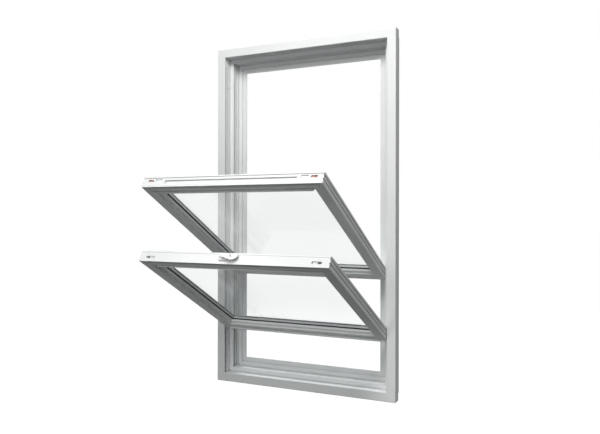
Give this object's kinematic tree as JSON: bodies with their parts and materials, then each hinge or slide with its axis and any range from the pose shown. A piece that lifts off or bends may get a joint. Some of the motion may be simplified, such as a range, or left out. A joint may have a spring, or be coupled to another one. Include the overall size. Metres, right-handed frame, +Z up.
{
  "type": "sash window",
  "caption": "White vinyl double-hung window in its frame; both sashes slide on hidden balances, tilt into the room on pivots, and have tilt latches and a cam lock.",
  "frame": {"origin": "middle of the seat under the sill, which is the front 36 mm of the frame's underside", "axes": "+X to the right as seen from the room, +Y outdoors, +Z up"},
  "size_m": [0.74, 0.6203, 1.326],
  "materials": {
    "frame_vinyl": "smooth white vinyl extrusion, satin",
    "sash_vinyl": "smooth white vinyl extrusion, satin",
    "bead_vinyl": "smooth white vinyl bead, satin",
    "glass": "clear insulating glass",
    "spacer": "matt spacer bar",
    "gasket": "black glazing gasket",
    "seal": "soft grey bulb seal",
    "pile": "grey pile weatherstrip",
    "lock_body": "white enamel look",
    "lock_lever": "white enamel look",
    "latch_case": "white moulded plastic",
    "latch_bolt": "white moulded plastic",
    "pivot_steel": "plated steel",
    "balance_tube": "plain drawn tube",
    "balance_rod": "plain steel rod",
    "balance_shoe": "moulded plastic",
    "screw_steel": "plated screws"
  },
  "bodies": {
    "frame": {"balance_screws": "screw_steel", "balance_tube_lower_left": "balance_tube", "balance_tube_lower_right": "balance_tube", "balance_tube_upper_left": "balance_tube", "balance_tube_upper_right": "balance_tube", "frame_head": "frame_vinyl", "frame_jamb_left": "frame_vinyl", "frame_jamb_right": "frame_vinyl", "frame_sill": "frame_vinyl"},
    "lower_carriage": {"balance_rod_lower_left": "balance_rod", "balance_rod_lower_right": "balance_rod", "balance_shoe_lower_left": "balance_shoe", "balance_shoe_lower_right": "balance_shoe"},
    "upper_carriage": {"balance_rod_upper_left": "balance_rod", "balance_rod_upper_right": "balance_rod", "balance_shoe_upper_left": "balance_shoe", "balance_shoe_upper_right": "balance_shoe"},
    "lower_sash": {"lock_base": "lock_body", "lock_screws": "screw_steel", "lower_bead_bottom": "bead_vinyl", "lower_bead_left": "bead_vinyl", "lower_bead_right": "bead_vinyl", "lower_bead_top": "bead_vinyl", "lower_bottom_rail": "sash_vinyl", "lower_bottom_seal": "seal", "lower_glass_spacer": "spacer", "lower_glazing_gasket": "gasket", "lower_latch_case_left": "latch_case", "lower_latch_case_right": "latch_case", "lower_pane_inner": "glass", "lower_pane_outer": "glass", "lower_pivot_left": "pivot_steel", "lower_pivot_right": "pivot_steel", "lower_stile_left": "sash_vinyl", "lower_stile_right": "sash_vinyl", "lower_top_rail": "sash_vinyl", "lower_weatherstrips": "pile"},
    "upper_sash": {"lock_keeper": "lock_body", "upper_bead_bottom": "bead_vinyl", "upper_bead_left": "bead_vinyl", "upper_bead_right": "bead_vinyl", "upper_bead_top": "bead_vinyl", "upper_bottom_rail": "sash_vinyl", "upper_glass_spacer": "spacer", "upper_glazing_gasket": "gasket", "upper_latch_case_left": "latch_case", "upper_latch_case_right": "latch_case", "upper_pane_inner": "glass", "upper_pane_outer": "glass", "upper_pivot_left": "pivot_steel", "upper_pivot_right": "pivot_steel", "upper_stile_left": "sash_vinyl", "upper_stile_right": "sash_vinyl", "upper_top_rail": "sash_vinyl", "upper_weatherstrips": "pile"},
    "lock_lever": {"lock_lever": "lock_lever"},
    "lower_latch_left": {"lower_latch_bolt_left": "latch_bolt"},
    "lower_latch_right": {"lower_latch_bolt_right": "latch_bolt"},
    "upper_latch_left": {"upper_latch_bolt_left": "latch_bolt"},
    "upper_latch_right": {"upper_latch_bolt_right": "latch_bolt"}
  },
  "joints": [
    {"name": "lower_slide", "type": "slide", "parent": "frame", "child": "lower_carriage", "axis": [0, 0, 1], "range_m": [-0.176, 0.09]},
    {"name": "upper_slide", "type": "slide", "parent": "frame", "child": "upper_carriage", "axis": [0, 0, 1], "range_m": [-0.09, 0.1785]},
    {"name": "lower_tilt", "type": "hinge", "parent": "lower_carriage", "child": "lower_sash", "pos_m": [0, -0.009, 0.226], "axis": [1, 0, 0], "range_deg": [-61, 29]},
    {"name": "upper_tilt", "type": "hinge", "parent": "upper_carriage", "child": "upper_sash", "pos_m": [0, 0.03, 0.437], "axis": [1, 0, 0], "range_deg": [-61, 29]},
    {"name": "lock_turn", "type": "hinge", "parent": "lower_sash", "child": "lock_lever", "pos_m": [0, -0.53005, 0.53083], "axis": [0, -0.8746, 0.4848], "range_deg": [-170, 0]},
    {"name": "lower_latch_left_slide", "type": "slide", "parent": "lower_sash", "child": "lower_latch_left", "axis": [-1, 0, 0], "range_m": [0, 0.01]},
    {"name": "lower_latch_right_slide", "type": "slide", "parent": "lower_sash", "child": "lower_latch_right", "axis": [1, 0, 0], "range_m": [0, 0.01]},
    {"name": "upper_latch_left_slide", "type": "slide", "parent": "upper_sash", "child": "upper_latch_left", "axis": [-1, 0, 0], "range_m": [0, 0.01]},
    {"name": "upper_latch_right_slide", "type": "slide", "parent": "upper_sash", "child": "upper_latch_right", "axis": [1, 0, 0], "range_m": [0, 0.01]}
  ],
  "couplings": [
    {"joint": "upper_tilt", "follows": "lower_tilt", "ratio": 1}
  ]
}
